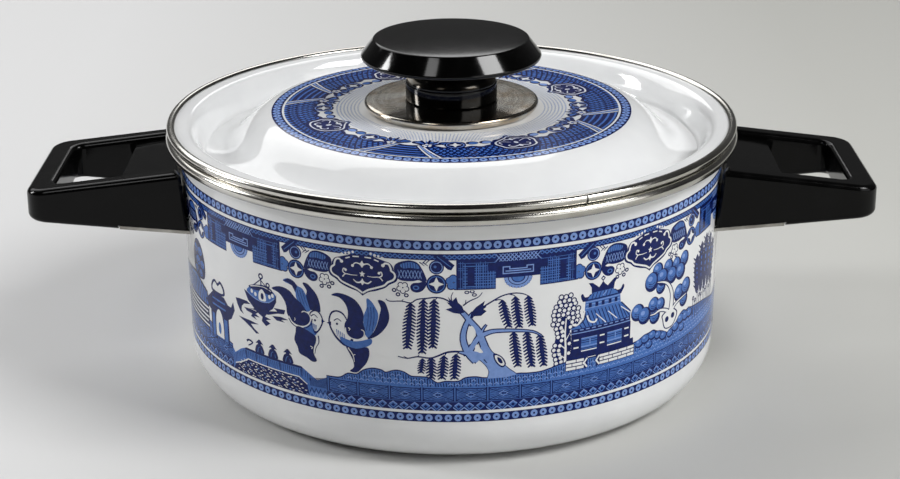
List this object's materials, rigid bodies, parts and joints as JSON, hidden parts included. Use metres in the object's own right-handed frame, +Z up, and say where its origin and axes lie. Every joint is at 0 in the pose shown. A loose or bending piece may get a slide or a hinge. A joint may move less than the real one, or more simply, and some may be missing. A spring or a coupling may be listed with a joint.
{
  "type": "stew pot",
  "caption": "Round lidded stew pot of enamelled steel with rolled steel rims, loop side handles and a mushroom knob on a saucer; the lid lifts straight off.",
  "frame": {"origin": "middle of the pot's flat base, on the surface it stands on", "axes": "+X along the two handles, +Y to the back, +Z up along the pot's axis"},
  "size_m": [0.3224, 0.22, 0.1324],
  "materials": {
    "white_enamel": "fired white vitreous enamel on steel, glossy, with a two-blue print",
    "rim_steel": "polished stainless strip, rolled",
    "saucer_steel": "polished stainless pressing",
    "black_phenolic": "moulded black phenolic, soft gloss",
    "bracket_steel": "plain steel strip",
    "insert_brass": "turned brass",
    "zinc_steel": "zinc-plated steel",
    "seal_fibre": "red vulcanised fibre"
  },
  "bodies": {
    "pot": {"pot_shell": "white_enamel", "pot_rim_ring": "rim_steel", "handle_bracket_right": "bracket_steel", "handle_bracket_left": "bracket_steel", "handle_right": "black_phenolic", "handle_left": "black_phenolic", "handle_insert_right_front": "insert_brass", "handle_insert_right_back": "insert_brass", "handle_insert_left_front": "insert_brass", "handle_insert_left_back": "insert_brass", "handle_washer_right_front": "zinc_steel", "handle_washer_right_back": "zinc_steel", "handle_washer_left_front": "zinc_steel", "handle_washer_left_back": "zinc_steel", "handle_screw_right_front": "zinc_steel", "handle_screw_right_back": "zinc_steel", "handle_screw_left_front": "zinc_steel", "handle_screw_left_back": "zinc_steel"},
    "lid": {"lid_shell": "white_enamel", "lid_rim_ring": "rim_steel", "knob_saucer": "saucer_steel", "knob": "black_phenolic", "knob_insert": "insert_brass", "knob_seal": "seal_fibre", "knob_washer": "zinc_steel", "knob_screw": "zinc_steel"}
  },
  "joints": [
    {"name": "lid_lift", "type": "slide", "parent": "pot", "child": "lid", "axis": [0, 0, 1], "range_m": [0, 0.12]}
  ]
}
